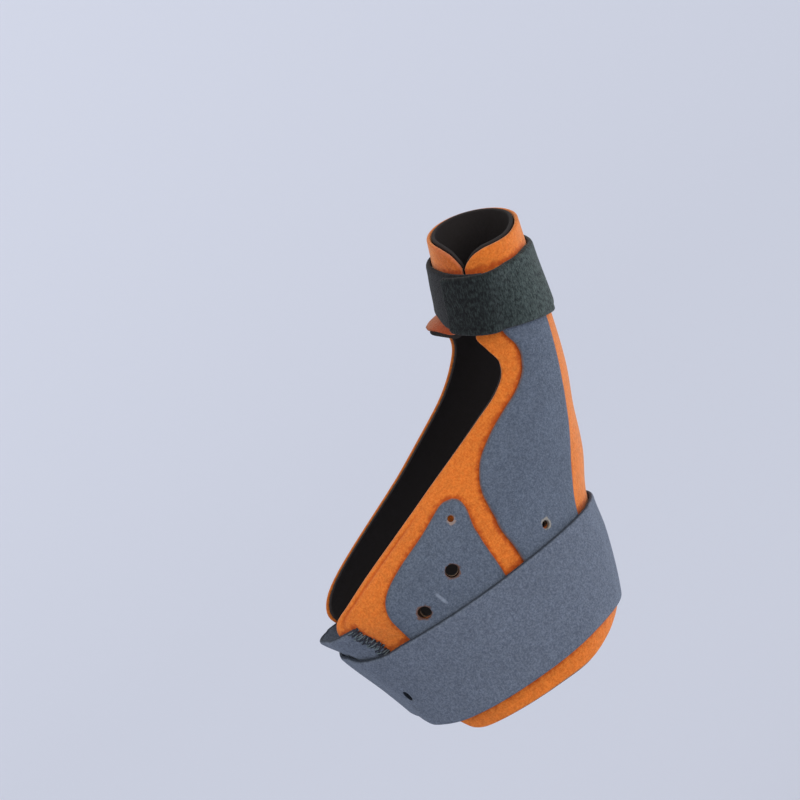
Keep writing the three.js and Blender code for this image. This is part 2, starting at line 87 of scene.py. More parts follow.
# Edges of the body: station and bearing, then bearing and station
PALM_EDGE = [
    (0, 139), (0.8, 142), (2.0, 146), (3.6, 149), (3.9, 147.5), (4.12, 141.5), (4.5, 136), (4.92, 130.5),
    (5.36, 121.5), (5.84, 109.5), (6.15, 99), (6.4, 94.5), (6.58, 96.5), (6.82, 109), (7.04, 121),
    (7.3, 121), (7.9, 118), (9, 117.5),
]
BACK_EDGE = [
    (0, -139), (0.8, -142), (3.6, -150), (3.95, -147), (4.5, -137), (5.2, -127), (5.8, -121),
    (6.3, -123), (6.7, -134), (6.81, -148), (6.85, -170), (6.89, -190), (6.935, -207), (7.015, -217),
    (7.5, -231), (7.9, -240), (9, -240.5),
]
CUFF_EDGE = [
    (-139, 0.95), (-128, 0.6), (-100, 0.45), (-30, 0.5), (0, 0.42), (22, 0.27), (36, 0.13), (56, 0.02),
    (80, 0.12), (105, 0.24), (127, 0.37), (134, 0.5), (139, 0.85),
]
SLEEVE_RIM = [
    (-240.5, 8.4), (-237, 8.52), (-224, 8.76), (-205, 8.88), (-183, 8.92), (-90, 8.98), (0, 8.95),
    (20, 8.9), (50, 8.82), (84, 8.78), (100, 8.7), (112, 8.54), (117.5, 8.4),
]

# How the body's rows are spread from the cuff up to the rim, and how far both ends follow their edges
ROW_SPREAD = [(0, 0), (0.33, 0.43), (0.72, 0.765), (0.84, 0.797), (1, 1)]
BODY_LOW = 0.3
BODY_HIGH = 8.9
CUFF_BEND_END = 0.3
RIM_BEND_START = 0.86

# Over the web the body's edge stands off the form, in millimetres, and rises, in stations
WEB_FLARE = 4.0
FLARE_STATIONS = (5.9, 6.95, 7.0, 7.27)
FLARE_BEARINGS = (-214, -176, -160, -112)
WEB_RISE = 0.12
RISE_STATIONS = (6.5, 6.95, 7.05, 7.5)
RISE_BEARINGS = (-216, -188, -172, -130)

# Panels: station, bearing of the thumb side and of the palm side
THUMB_PANEL_ROWS = [
    (0.9, 40, 54), (1.05, 34, 61), (1.4, 31.5, 65), (3.04, 31.5, 68.6), (3.4, 31.6, 69.1),
    (3.72, 31.7, 70.6), (4.16, 32, 74.8), (4.46, 31.5, 81), (4.72, 31, 88.3), (4.96, 30.9, 94),
    (5.32, 32.2, 98), (5.6, 33.6, 96.2), (5.88, 34.8, 90), (6.14, 35, 80.8), (6.43, 35, 75.6),
    (6.6, 34.8, 75.8), (6.78, 34.8, 79), (7.03, 35.4, 89.5), (7.16, 36.4, 92.5), (7.3, 38.5, 90),
    (7.4, 43, 84), (7.45, 50, 74),
]
PALM_PANEL_ROWS = [
    (1.15, 90, 110), (1.3, 83, 118), (1.7, 79, 122.5), (3.04, 77.6, 124), (3.38, 77.6, 122.6),
    (3.7, 78.3, 120.8), (4.03, 80.9, 119.7), (4.31, 86.1, 117.5), (4.57, 92.6, 114.2),
    (4.73, 98.4, 113.6), (4.82, 103.2, 113.2), (4.86, 107, 111.5),
]

# Straps: bearing, lower and upper station, height
WRIST_STRAP_ROWS = [
    (137, 1.55, 3.7, ON_COVER), (151, 1.49, 3.66, ON_COVER), (158, 1.47, 3.65, (ON_COVER + ON_SKIN) / 2),
    (166, 1.44, 3.63, ON_SKIN), (197, 1.3, 3.55, ON_SKIN), (208, 1.22, 3.5, ON_COVER),
    (270, 0.9, 3.25, ON_COVER), (330, 0.6, 3.05, ON_COVER), (360, 0.5, 2.96, ON_COVER),
    (381, 0.52, 2.94, (ON_COVER + ON_PANEL) / 2), (390, 0.55, 2.93, ON_PANEL),
    (417, 0.55, 2.93, ON_PANEL), (460, 0.67, 2.9, ON_PANEL), (486, 0.79, 2.9, ON_PANEL),
    (494, 0.85, 2.88, ON_STRAP), (509, 1.02, 2.97, ON_STRAP),
    (517, 1.13, 3.04, (ON_STRAP + ON_SKIN_STRAP) / 2), (526, 1.26, 3.09, ON_SKIN_STRAP),
    (538, 1.34, 3.09, ON_SKIN_STRAP), (557, 1.3, 3.16, ON_SKIN_STRAP), (568, 1.22, 3.2, ON_STRAP),
    (576, 1.2, 3.22, ON_HOOK), (612, 1.1, 3.1, ON_HOOK), (616, 1.25, 2.95, ON_HOOK),
    (618, 1.5, 2.7, ON_HOOK),
]
WRIST_HOOK_ROWS = [(578, 1.4, 3.0, ON_STRAP), (613, 1.4, 2.85, ON_STRAP)]
THUMB_STRAP_ROWS = [
    (-262, 7.26, 8.28, ON_COVER), (-222, 7.16, 8.34, ON_COVER), (-206, 7.2, 8.37, ON_COVER),
    (-188, 7.31, 8.38, ON_COVER), (-160, 7.33, 8.38, ON_COVER), (-140, 7.29, 8.37, ON_COVER),
    (-90, 7.1, 8.36, ON_COVER), (0, 7.0, 8.34, ON_COVER), (20, 7.0, 8.37, ON_COVER),
    (31, 7.02, 8.4, ON_PANEL), (60, 7.1, 8.35, ON_PANEL), (88, 7.14, 8.34, ON_PANEL),
    (97, 7.14, 8.34, ON_HOOK), (136, 7.2, 8.34, ON_HOOK), (140, 7.26, 8.3, ON_HOOK),
]
THUMB_HOOK_ROWS = [(100, 7.35, 8.15, ON_STRAP), (136, 7.38, 8.15, ON_STRAP)]

# The thumb strap's upper edge lies on the body alone: bearing and height. TAPER is the share of a
# strap's width over which its height goes over to that of its upper edge
THUMB_STRAP_TOP = [(-262, ON_COVER), (64, ON_COVER), (97, ON_HOOK), (140, ON_HOOK)]
TAPER = (0.36, 1)

# Holes and the ends of the scratch: station and bearing, then sizes in millimetres
EYELETS = [(3.75, 93), (3.27, 110.6)]
PIN_HOLE = (4.57, 100.3)
STAY_HOLE = (3.36, 53)
STRAP_SLOT = (1.9, 147 + 360)
SCRATCH_ENDS = [(3.56, 101.8), (3.12, 101.5)]
EYELET_RADIUS = 1.8
PIN_HOLE_RADIUS = 0.85
STAY_HOLE_RADIUS = 1.1
STRAP_SLOT_LENGTH = 3.2
STRAP_SLOT_WIDTH = 1.5

# How much smaller a hole is in the cloth under the panel
EYELET_LIP = 0.15
STAY_HOLE_LIP = 0.2

# Rough width and height of each piece in millimetres, for its mesh
BODY_SIZE = (150, 118)
THUMB_PANEL_SIZE = (22, 88)
PALM_PANEL_SIZE = (22, 45)
WRIST_STRAP_SIZE = (270, 27)
THUMB_STRAP_SIZE = (96, 16)
WRIST_HOOK_SIZE = (20, 18)
THUMB_HOOK_SIZE = (9, 10)

# Reach of the rounding at each cut edge, in millimetres
LINING_ROUND = 0.3
COVER_ROUND = 0.45
PANEL_ROUND = 0.35
WRIST_STRAP_ROUND = 1.1
THUMB_STRAP_ROUND = 0.9
HOOK_ROUND = 0.2

# Share of the thickness at which the border lies
PANEL_REST = 0.1
STRAP_REST = 0.15

# Low relief in millimetres: the hem along the palm edge, its crease, and the pressed border of a panel
HEM_STATIONS = (3.7, 4.0, 4.5, 5.0)
HEM_IN = 1.3
HEM_WIDTH = 0.8
HEM_HEIGHT = 0.18
CREASE_IN = 2.6
CREASE_WIDTH = 0.5
CREASE_DEPTH = 0.4
BORDER_DEPTH = 0.5
BORDER_WIDTH = 1.7

# How far the cover stands back from the lining's edge, in millimetres, and over the web in stations
COVER_INSET = 0.35
WEB_BARE = 0.09
BARE_STATIONS = (6.6, 6.9, 7.12, 7.5)
BARE_BEARINGS = (-226, -212, -160, -130)

# Where the photograph shows the orange in shade: under the thumb strap, and at the collar's far side
UNDER_STATIONS = (6.6, 6.95, 7.3, 7.6)
UNDER_BEARINGS = (-130, -100)
COLLAR_STATIONS = (7.9, 8.3)
COLLAR_BEARINGS = (-215, -185)
COLLAR_SHADE = 0.45

# In millimetres: how far a cut reaches past the layers, and how deep the colour round a hole goes
CUT_CLEAR = 2.0
AXIS_DEPTH = 6.0

# Small steps that give the directions of the form at a hole, in stations and degrees
STATION_NUDGE = 0.05
BEARING_NUDGE = 1

# Colours as a photograph shows them, 0 to 255. Each pile has a dark, a middle and a light one
ORANGE = ((212, 98, 26), (232, 119, 36), (248, 146, 60))
PANEL_GREY = ((70, 79, 92), (93, 102, 116), (124, 133, 146))
STRAP_GREY = ((76, 84, 98), (100, 108, 122), (130, 138, 150))
LOOP_GREEN = ((14, 19, 19), (44, 54, 54), (98, 112, 107))
ORANGE_FUZZ = (255, 214, 176)
# Painted shade beside the panels and straps
CONTACT_SHADE_RED = (190, 66, 14)
# Painted shade in the crease of the hem
CREASE_SHADE_RED = (186, 62, 10)
# A lighter line along the web flap's folded rim, partly a painted highlight
WEB_FOLD_HIGHLIGHT = (222, 128, 92)
# Painted shade inside the eyelets, the stay hole and the pin hole
EYELET_SHADE = (34, 20, 14)
STAY_HOLE_SHADE = (26, 22, 20)
PIN_HOLE_SHADE = (120, 60, 30)
EYELET_RIM = (118, 84, 66)
PIN_HOLE_RIM = (172, 146, 130)
STAY_HOLE_RIM = (172, 164, 150)
PANEL_BORDER = (150, 112, 96)
SCRATCH = (160, 168, 180)
# Painted shadow along the wrist strap's upper edge
STRAP_TOP_SHADOW = (40, 46, 54)
LOOP_WORN = (30, 27, 31)
# Painted shade towards the thumb strap's free end
LOOP_END_SHADE = (8, 9, 12)
LINING_BLACK = (36, 29, 26)
HOOK_BLACK = (26, 26, 28)
THREAD_DARK = (26, 31, 44)
THREAD_PALE = (98, 112, 114)
FLOOR_COLOUR = (225, 229, 242)
WORLD_COLOUR = (246, 247, 250)

# What the orange is multiplied by in shade, as the shader takes it
SHADE_TINT = (0.5, 0.3, 0.6, 1.0)

# Between which values a noise is stretched, for the grain of the pile and for what wanders with it
GRAIN_RANGE = (0.32, 0.68)
PILE_RANGE = (0.36, 0.64)
TUFT_RANGE = (0.3, 0.7)
WANDER_RANGE = (0.2, 0.8)

# The velour's larger noises as multiples of its grain, and how much light and dark each gives
TUFT_SIZE = 2.6
TUFT_TONE = (0.91, 1.07)
CLOUD_SIZE = 20
CLOUD_TONE = (-0.03, 0.03)

# Marks on the cloth, among them painted shade and a painted highlight: how far each reaches in millimetres,
# and its strength
CONTACT_SHADE_REACH = 1.5
CONTACT_SHADE_STRENGTH = 0.75
CREASE_SHADE_STRENGTH = 0.7
FOLD_HIGHLIGHT_REACH = (0.3, 0.8)
FOLD_HIGHLIGHT_STRENGTH = 0.8
BORDER_REACH = 0.55
BORDER_STRENGTH = 0.6
STRAP_SHADOW_REACH = (0.08, 0.5)
STRAP_SHADOW_STRENGTH = 0.8
SCRATCH_REACH = (0.15, 0.6)
SCRATCH_STRENGTH = 0.55
RING_WIDTH = 0.55

# Between which distances from a hole's axis the cover goes from the painted shade in the hole to its own
# colour
EYELET_DARK_REACH = (EYELET_RADIUS - 0.1, EYELET_RADIUS + 0.25)
STAY_HOLE_DARK_REACH = (STAY_HOLE_RADIUS - 0.2, STAY_HOLE_RADIUS + 0.1)
PIN_HOLE_DARK_REACH = (0.5, 0.9)

# Millimetres along the thumb strap where its worn start ends, and where it darkens to its free end in painted
# shade
WORN_END = (25, 31)
END_SHADE_SPAN = (74, 94)

# A distance in millimetres beyond any on the object
FAR = 99.0

# Stitches: points along each, spread of the slant and of the place in stations, shortest and further
# reach in degrees off the strap's border and onto it, and the bow in millimetres
STITCH_POINTS = 9
STITCH_SLANT = 0.035
STITCH_SCATTER = 0.02
STITCH_OUT = 1.0
STITCH_ON = (0.8, 2.6)
STITCH_BOW = 0.12
THREAD_UPRIGHT = (0.3, 0.8, 0.52)

# Mesh fineness in millimetres, and the extra steps next to every cut edge
STEP = 1.1
FINE_STEP = 0.75
BODY_STEP = 0.85
LINING_STEP = 1.5
EDGE_STEPS = (0, 0.06, 0.16, 0.3, 0.5, 0.8, 1.2, 1.7, 2.3, 2.9, 3.5, 4.2)

# The camera looks at the palm, a little from above, and is rolled as the photograph is
CAMERA_ELEVATION = math.radians(7)
CAMERA_ROLL = math.radians(40.5)
CAMERA_DISTANCE = 1.0
CAMERA_WIDTH = 0.20513
CAMERA_OFFSET = (-0.02513, 0.06103)
SENSOR = 36

# Light
OBJECT_MIDDLE = Vector((0.02, 0, 0.04))
LIGHT_DISTANCE = 1.6
WORLD_STRENGTH = 0.78

# The backdrop, in metres: a round floor whose rim curves up
FLOOR_Z = -0.12
FLOOR_RADIUS = 1.2
BOWL_STEPS = 24
BOWL_SIDES = 96
BOWL_RADIUS = 3.0
BOWL_SLOPE = math.radians(50)


def curve(rows, column):
    """A smooth curve through a table's rows that never swings past them."""
    x = np.array([row[0] for row in rows], float)
    y = np.array([row[column] for row in rows], float)
    slope = np.diff(y) / np.diff(x)
    tangent = np.empty_like(y)
    tangent[0], tangent[-1] = slope[0], slope[-1]
    product = slope[:-1] * slope[1:]
    total = slope[:-1] + slope[1:]
    tangent[1:-1] = np.where(product > 0, 2 * product / np.where(total == 0, 1, total), 0)

    def at(value):
        value = np.clip(value, x[0], x[-1])
        i = np.clip(np.searchsorted(x, value, side="right") - 1, 0, len(x) - 2)
        span = x[i + 1] - x[i]
        s = (value - x[i]) / span
        rise = 3 * s**2 - 2 * s**3
        bend = s * (1 - s) ** 2 * tangent[i] - s**2 * (1 - s) * tangent[i + 1]
        return y[i] * (1 - rise) + y[i + 1] * rise + span * bend

    return at


def smooth(low, high, value):
    """Goes from 0 at low to 1 at high, level at both ends."""
    s = np.clip((value - low) / (high - low), 0, 1)
    return s * s * (3 - 2 * s)


def bump_between(span, value):
    """Goes up from 0 to 1 and down again, at the four places of the span."""
    rise, full, fall, end = span
    return smooth(rise, full, value) * (1 - smooth(fall, end, value))


def real_sections():
    """The sections in millimetres and radians, with one more at both ends for the curve through them."""
    drop, rise, out, forward, wrist_wide, thumb_wide, wrist_deep, thumb_deep, turn, lean = SECTIONS.T
    rows = np.stack([
        out * THUMB_REACH,
        -forward * THUMB_FORWARD,
        rise * THUMB_RISE - drop * CUFF_DROP,
        wrist_wide * WRIST_WIDTH + thumb_wide * THUMB_WIDTH,
        wrist_deep * WRIST_DEPTH + thumb_deep * THUMB_DEPTH,
        turn * THUMB_TURN,
        lean * THUMB_LEAN,
    ], axis=1)
    return np.vstack([2 * rows[0] - rows[1], rows, 2 * rows[-1] - rows[-2]])


PADDED = real_sections()


def on_form(station, bearing, lift):
    """The point in millimetres at a station, bearing and height on the hand form."""
    station, bearing, lift = np.broadcast_arrays(station, bearing, lift)
    i = np.clip(np.floor(station).astype(int), 0, len(SECTIONS) - 2)
    s = (station - i)[..., None]
    before, here, after, later = (PADDED[i + k] for k in range(4))
    row = 0.5 * (
        2 * here
        + (after - before) * s
        + (2 * before - 5 * here + 4 * after - later) * s**2
        + (3 * here - before - 3 * after + later) * s**3
    )
    x, y, z, wide, deep, turn, lean = np.moveaxis(row, -1, 0)
    angle = np.radians(bearing)
    a = (wide + lift) * np.cos(angle)
    b = (deep + lift) * np.sin(angle)
    return np.stack([
        x + a * np.cos(turn) - b * np.sin(turn) * np.sin(lean),
        y - b * np.cos(lean),
        z - a * np.sin(turn) - b * np.cos(turn) * np.sin(lean),
    ], axis=-1)


palm_edge = curve(PALM_EDGE, 1)
back_edge = curve(BACK_EDGE, 1)
cuff_edge = curve(CUFF_EDGE, 1)
sleeve_rim = curve(SLEEVE_RIM, 1)
row_spread = curve(ROW_SPREAD, 1)


def web_flare(station, bearing):
    """How far the body's edge stands off the form over the web."""
    along = bump_between(FLARE_STATIONS, station)
    return WEB_FLARE * along * bump_between(FLARE_BEARINGS, bearing)


def body_layout(u, w):
    """Station and bearing of the body at shares u across from its back edge and w up from the cuff."""
    cuff = CUFF_EDGE[0][0] + u * (CUFF_EDGE[-1][0] - CUFF_EDGE[0][0])
    rim = SLEEVE_RIM[0][0] + u * (SLEEVE_RIM[-1][0] - SLEEVE_RIM[0][0])
    at_cuff = (1 - smooth(0, CUFF_BEND_END, w)) * (cuff_edge(cuff) - BODY_LOW)
    at_rim = smooth(RIM_BEND_START, 1, w) * (sleeve_rim(rim) - BODY_HIGH)
    row = BODY_LOW + row_spread(w) * (BODY_HIGH - BODY_LOW) + at_cuff + at_rim
    back = back_edge(row)
    bearing = back + u * (palm_edge(row) - back)
    rise = WEB_RISE * bump_between(RISE_STATIONS, row) * bump_between(RISE_BEARINGS, bearing)
    return row + rise, bearing


def panel_layout(rows):
    """The layout of a panel from a table with a row for each station."""
    thumb_side = curve(rows, 1)
    palm_side = curve(rows, 2)

    def layout(u, w):
        station = rows[0][0] + (rows[-1][0] - rows[0][0]) * 0.5 * (1 - np.cos(np.pi * w))
        first = thumb_side(station)
        return station, first + u * (palm_side(station) - first)

    return layout


def band_layout(rows):
    """The layout of a strap from a table with a row for each bearing."""
    low = curve(rows, 1)
    high = curve(rows, 2)

    def layout(u, w):
        bearing = rows[0][0] + u * (rows[-1][0] - rows[0][0])
        return low(bearing) + w * (high(bearing) - low(bearing)), bearing

    return layout


def spread(length, step):
    """Shares of a length from 0 to 1, close together next to both ends."""
    edge = np.array(EDGE_STEPS) / length
    count = max(2, round((1 - 2 * edge[-1]) * length / step))
    middle = np.linspace(edge[-1], 1 - edge[-1], count + 1)
    return np.concatenate([edge[:-1], middle, 1 - edge[-2::-1]])


def border_distances(points):
    """Arc lengths from the four borders of a grid of points."""
    found = []
    for axis in (0, 1):
        steps = np.linalg.norm(np.diff(points, axis=axis), axis=-1)
        pad = [(0, 0), (0, 0)]
        pad[axis] = (1, 0)
        run = np.cumsum(np.pad(steps, pad), axis=axis)
        found += [run, np.take(run, [-1], axis=axis) - run]
    return found


def fabric(
    name, layout, size, lift, thickness, edge, relief=None, step=STEP, inset=0.0, marks=None, rest=0.5
):
    """A closed sheet with rounded borders. size is its rough width and height in millimetres, edge the
    reach of the rounding, inset how far its sides stand back from the layout's, and rest the share of the
    thickness at which the border lies. relief adds to the outer face, and marks gives values for the
    material."""
    us, ws = spread(size[0], step), spread(size[1], step)
    u, w = np.meshgrid(us, ws, indexing="ij")
    if inset:
        u = inset / size[0] + u * (1 - 2 * inset / size[0])
        w = inset / size[1] + w * (1 - 2 * inset / size[1])
    station, bearing = layout(u, w)
    base = lift(station, bearing, w)
    middle = base + thickness * rest
    borders = border_distances(on_form(station, bearing, base + thickness / 2))
    nearest = np.minimum.reduce(borders)
    round_off = np.sqrt(1 - (1 - np.clip(nearest / edge, 0, 1)) ** 2)
    outer = middle + thickness * (1 - rest) * round_off
    inner = middle - thickness * rest * round_off
    if relief is not None:
        outer = outer + relief(station, borders) * round_off
    nu, nw = u.shape
    inside = np.zeros(u.shape, bool)
    inside[1:-1, 1:-1] = True
    outer_id = np.arange(nu * nw).reshape(nu, nw)
    inner_id = outer_id.copy()
    inner_id[inside] = nu * nw + np.arange(inside.sum())
    points = np.concatenate([
        on_form(station, bearing, outer).reshape(-1, 3),
        on_form(station, bearing, inner)[inside],
    ])
    quads = []
    for ids, flip in ((outer_id, False), (inner_id, True)):
        a, b, c, d = ids[:-1, :-1], ids[:-1, 1:], ids[1:, 1:], ids[1:, :-1]
        corners = (a, d, c, b) if flip else (a, b, c, d)
        quads.append(np.stack(corners, axis=-1).reshape(-1, 4))
    run_u, _, run_w, _ = borders
    middle_run = run_u[:, nw // 2][:, None]
    uv = np.stack([np.broadcast_to(middle_run, run_w.shape), run_w], axis=-1)
    uv = np.concatenate([uv.reshape(-1, 2), uv[inside]])
    values = {"border": nearest, "top": borders[3]}
    if marks is not None:
        values.update(marks(station, bearing, borders))
    values = {key: np.concatenate([grid.ravel(), grid[inside]]) for key, grid in values.items()}
    return mesh_object(name, points, np.concatenate(quads).tolist(), uv, values)


def mesh_object(name, points, faces, uv=None, values=None):
    """A smooth mesh from points in millimetres, with its values at the points for the material."""
    mesh = bpy.data.meshes.new(name)
    mesh.from_pydata((points * MM).tolist(), [], faces)
    if uv is not None:
        corner = np.empty(len(mesh.loops), int)
        mesh.loops.foreach_get("vertex_index", corner)
        mesh.uv_layers.new(name="length").data.foreach_set("uv", uv[corner].ravel())
    for key, value in (values or {}).items():
        mesh.attributes.new(key, "FLOAT", "POINT").data.foreach_set("value", value)
    mesh.polygons.foreach_set("use_smooth", np.ones(len(mesh.polygons), bool))
    thing = bpy.data.objects.new(name, mesh)
    bpy.context.scene.collection.objects.link(thing)
    return thing


def level(height):
    """The same height above the form everywhere."""
    return lambda station, bearing, w: np.full(np.shape(station), float(height))


def hole_axes(place, low):
    """The foot of a hole on the form, and its directions outwards, across and sideways."""
    station, bearing = place
    foot = on_form(station, bearing, low)
    along = on_form(station + STATION_NUDGE, bearing, low) - foot
    around = on_form(station, bearing + BEARING_NUDGE, low) - foot
    outwards = np.cross(around, along)
    outwards /= np.linalg.norm(outwards)
    if outwards @ (on_form(station, bearing, low + 1) - foot) < 0:
        outwards = -outwards
    across = np.cross(outwards, around)
    across /= np.linalg.norm(across)
    return foot, outwards, across, np.cross(across, outwards)


def cut_hole(thing, place, radius, low, high, stretch=1.0, sides=32):
    """Cuts a round or oval hole square to the form, between two heights."""
    foot, outwards, across, sideways = hole_axes(place, low)
    turn = np.linspace(0, 2 * math.pi, sides, endpoint=False)[:, None]
    ring = radius * (np.cos(turn) * sideways + stretch * np.sin(turn) * across)
    height = high - low
    points = np.concatenate([foot + ring, foot + ring + outwards * height])
    built = bmesh.new()
    verts = [built.verts.new(p * MM) for p in points]
    built.faces.new(verts[:sides][::-1])
    built.faces.new(verts[sides:])
    for i in range(sides):
        j = (i + 1) % sides
        built.faces.new((verts[i], verts[j], verts[sides + j], verts[sides + i]))
    bmesh.ops.recalc_face_normals(built, faces=built.faces)
    mesh = bpy.data.meshes.new("cutter")
    built.to_mesh(mesh)
    built.free()
    cutter = bpy.data.objects.new("cutter", mesh)
    bpy.context.scene.collection.objects.link(cutter)
    cut = thing.modifiers.new("hole", "BOOLEAN")
    cut.operation = "DIFFERENCE"
    cut.solver = "EXACT"
    cut.object = cutter
    apply_modifiers(thing)
    bpy.data.objects.remove(cutter)


def apply_modifiers(thing):
    """Makes the result of a piece's modifiers its mesh."""
    graph = bpy.context.evaluated_depsgraph_get()
    made = bpy.data.meshes.new_from_object(thing.evaluated_get(graph))
    thing.modifiers.clear()
    thing.data = made


# Materials


def linear(red, green, blue):
    """A colour as seen in a photograph, 0 to 255, as the shader takes it."""
    parts = (value / 255 for value in (red, green, blue))
    return tuple(p / 12.92 if p <= 0.04045 else ((p + 0.055) / 1.055) ** 2.4 for p in parts) + (1.0,)


class Shader:
    """A node material that is built a node at a time."""

    def __init__(self, name):
        self.material = bpy.data.materials.new(name)
        self.material.use_nodes = True
        self.nodes = self.material.node_tree.nodes
        self.links = self.material.node_tree.links
        self.bsdf = self.nodes["Principled BSDF"]

    def node(self, kind, inputs=(), **settings):
        """Adds a node, with values or links for its inputs."""
        made = self.nodes.new(kind)
        for key, value in settings.items():
            setattr(made, key, value)
        for key, value in dict(inputs).items():
            self.put(made.inputs[key], value)
        return made

    def put(self, socket, value):
        """Links another node's output to a socket, or sets the socket's own value."""
        if isinstance(value, bpy.types.NodeSocket):
            self.links.new(value, socket)
        else:
            socket.default_value = value

    def noise(self, size, vector, detail=2.0, roughness=0.6):
        """Noise with grains of about that many millimetres."""
        made = self.node(
            "ShaderNodeTexNoise",
            {"Vector": vector, "Scale": 1 / size, "Detail": detail, "Roughness": roughness},
        )
        return made.outputs["Fac"]

    def math(self, operation, first, second=0.0):
        made = self.node("ShaderNodeMath", operation=operation)
        self.put(made.inputs[0], first)
        self.put(made.inputs[1], second)
        return made.outputs[0]

    def remap(self, value, low, high, to_low=0.0, to_high=1.0):
        """Goes smoothly from to_low at low to to_high at high."""
        made = self.node(
            "ShaderNodeMapRange",
            {"Value": value, "From Min": low, "From Max": high, "To Min": to_low, "To Max": to_high},
            interpolation_type="SMOOTHSTEP",
        )
        return made.outputs["Result"]

    def attribute(self, name):
        return self.node("ShaderNodeAttribute", attribute_name=name).outputs["Fac"]

    def vector(self, operation, first, second=(0, 0, 0), output="Vector"):
        made = self.node("ShaderNodeVectorMath", operation=operation)
        self.put(made.inputs[0], first)
        self.put(made.inputs[1], second)
        return made.outputs[output]

    def from_axis(self, place):
        """Distance in millimetres from the axis of a hole, large on the far side of the object."""
        foot, outwards, _, _ = hole_axes(place, ON_COVER)
        here = self.node("ShaderNodeTexCoord").outputs["Object"]
        offset = self.vector("SUBTRACT", here, tuple(foot * MM))
        crossed = self.vector("CROSS_PRODUCT", offset, tuple(outwards))
        away = self.math("MULTIPLY", self.vector("LENGTH", crossed, output="Value"), 1 / MM)
        depth = self.vector("DOT_PRODUCT", offset, tuple(-outwards / MM), "Value")
        return self.math("MAXIMUM", away, self.math("SUBTRACT", depth, AXIS_DEPTH))

    def toned(self, colour, tone):
        """A colour times a number."""
        grey = self.node("ShaderNodeCombineColor", {"Red": tone, "Green": tone, "Blue": tone})
        return self.mix(1.0, colour, grey.outputs["Color"], "MULTIPLY")

    def bump(self, height, strength, distance):
        """Raises the surface by a noise, with the distance in metres."""
        made = self.node("ShaderNodeBump", {"Height": height, "Strength": strength, "Distance": distance})
        self.put(self.bsdf.inputs["Normal"], made.outputs["Normal"])

    def mix(self, factor, first, second, blend="MIX"):
        made = self.node("ShaderNodeMix", data_type="RGBA", blend_type=blend)
        self.put(made.inputs["Factor"], factor)
        self.put(made.inputs[6], first)
        self.put(made.inputs[7], second)
        return made.outputs[2]


def millimetres(shader):
    """Object coordinates in millimetres."""
    place = shader.node("ShaderNodeTexCoord").outputs["Object"]
    scale = (1 / MM, 1 / MM, 1 / MM)
    return shader.node("ShaderNodeMapping", {"Vector": place, "Scale": scale}).outputs["Vector"]


def velour(name, shades, grain, edge, sheen=0.3, fuzz=None, marks=None):
    """Short brushed pile: fine grain, soft mottling, and a darker border, partly pressed pile and partly
    painted shade where the piece meets what lies under it. edge is the tone at the border and its reach in
    millimetres, fuzz the colour of the sheen. marks may change the colour first."""
    dark, middle, light = (linear(*shade) for shade in shades)
    shader = Shader(name)
    place = millimetres(shader)
    fine = shader.noise(grain, place, 3.0, 0.75)
    tuft = shader.noise(grain * TUFT_SIZE, place, 2.0, 0.6)
    cloud = shader.noise(grain * CLOUD_SIZE, place, 2.0, 0.5)
    colour = shader.mix(shader.remap(fine, *GRAIN_RANGE), dark, light)
    colour = shader.mix(0.45, colour, middle)
    if marks is not None:
        colour = marks(shader, colour, tuft)
    tufted = shader.remap(tuft, *TUFT_RANGE, *TUFT_TONE)
    tone = shader.math("ADD", tufted, shader.remap(cloud, *TUFT_RANGE, *CLOUD_TONE))
    # Darker at the border: partly pressed pile, partly painted shade where the piece meets what lies under it
    wander = shader.math("ADD", shader.attribute("border"), shader.remap(tuft, *WANDER_RANGE, -0.2, 0.2))
    border_tone, border_reach = edge
    tone = shader.math("MULTIPLY", tone, shader.remap(wander, 0.0, border_reach, border_tone, 1.0))
    shader.put(shader.bsdf.inputs["Base Color"], shader.toned(colour, tone))
    shader.bump(shader.math("ADD", fine, shader.math("MULTIPLY", tuft, 0.8)), 0.5, 0.0004)
    shader.bsdf.inputs["Roughness"].default_value = 0.92
    shader.bsdf.inputs["Specular IOR Level"].default_value = 0.15
    shader.bsdf.inputs["Sheen Weight"].default_value = sheen
    shader.bsdf.inputs["Sheen Roughness"].default_value = 0.5
    shader.bsdf.inputs["Sheen Tint"].default_value = linear(*fuzz) if fuzz else light
    return shader.material


